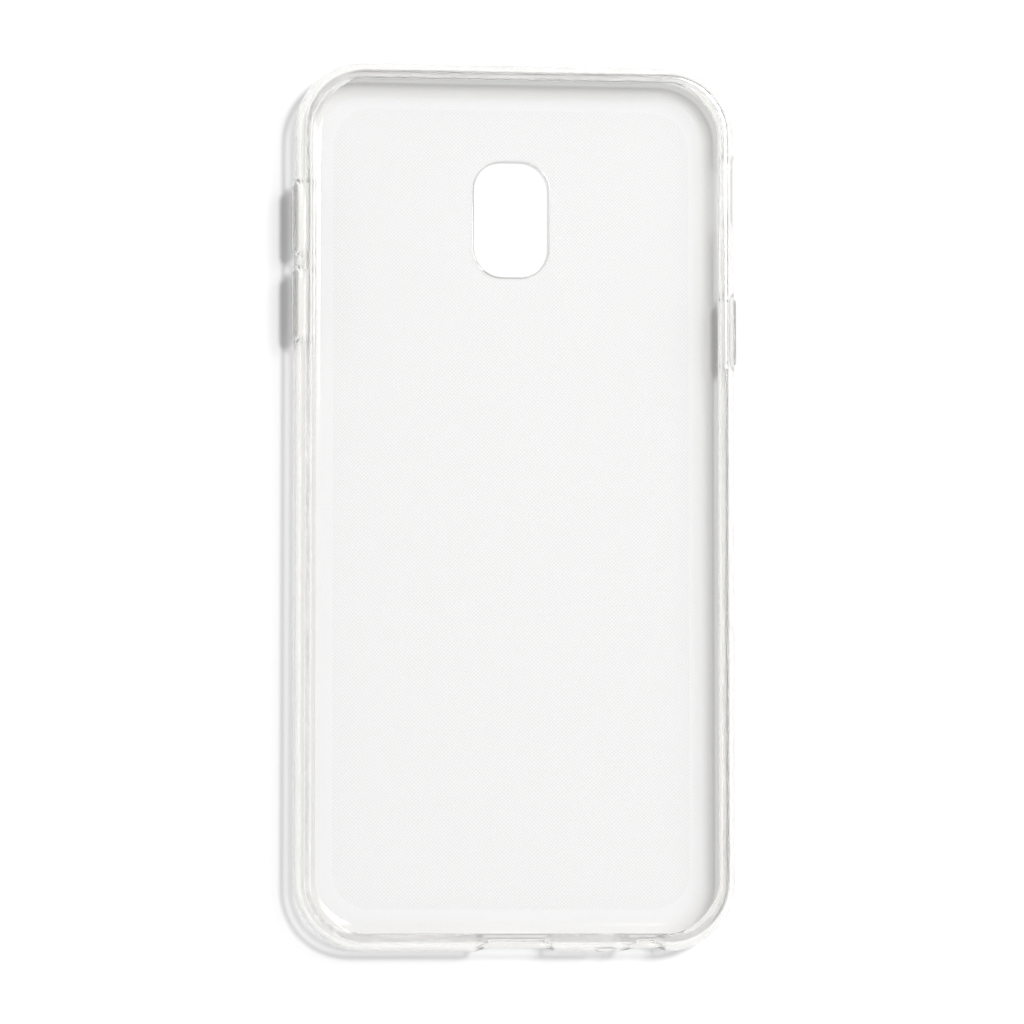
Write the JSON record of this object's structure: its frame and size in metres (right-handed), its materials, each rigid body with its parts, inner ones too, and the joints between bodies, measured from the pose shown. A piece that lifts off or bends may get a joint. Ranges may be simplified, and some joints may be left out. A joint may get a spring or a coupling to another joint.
{
  "type": "phone case",
  "caption": "Clear soft moulded phone case with a flat back, camera window, rounded walls, cut-outs, a retaining lip and flexing button covers.",
  "frame": {"origin": "centre of the back's outer face, the face that the case lies on", "axes": "+Z out of the open front, +Y towards the phone's top end, +X to the right side seen from the open front"},
  "size_m": [0.0738, 0.146, 0.0098],
  "materials": {
    "clear_shell": "clear soft TPU, glossy, with a fine dot texture inside the back",
    "clear_button": "clear soft TPU, glossy"
  },
  "bodies": {
    "case": {"back_panel": "clear_shell", "left_wall": "clear_shell", "right_wall": "clear_shell", "top_wall": "clear_shell", "bottom_wall": "clear_shell", "top_right_corner": "clear_shell", "top_left_corner": "clear_shell", "bottom_left_corner": "clear_shell", "bottom_right_corner": "clear_shell", "front_lip": "clear_shell", "volume_up_web": "clear_shell", "volume_down_web": "clear_shell", "power_web": "clear_shell"},
    "volume_up_button": {"volume_up_cover": "clear_button"},
    "volume_down_button": {"volume_down_cover": "clear_button"},
    "power_button": {"power_cover": "clear_button"}
  },
  "joints": [
    {"name": "volume_up_press", "type": "slide", "parent": "case", "child": "volume_up_button", "axis": [1, 0, 0], "range_m": [0, 0.00035], "stiffness_N_per_m": 2000, "deforming": ["volume_up_web"]},
    {"name": "volume_down_press", "type": "slide", "parent": "case", "child": "volume_down_button", "axis": [1, 0, 0], "range_m": [0, 0.00035], "stiffness_N_per_m": 2000, "deforming": ["volume_down_web"]},
    {"name": "power_press", "type": "slide", "parent": "case", "child": "power_button", "axis": [-1, 0, 0], "range_m": [0, 0.00035], "stiffness_N_per_m": 2000, "deforming": ["power_web"]}
  ]
}
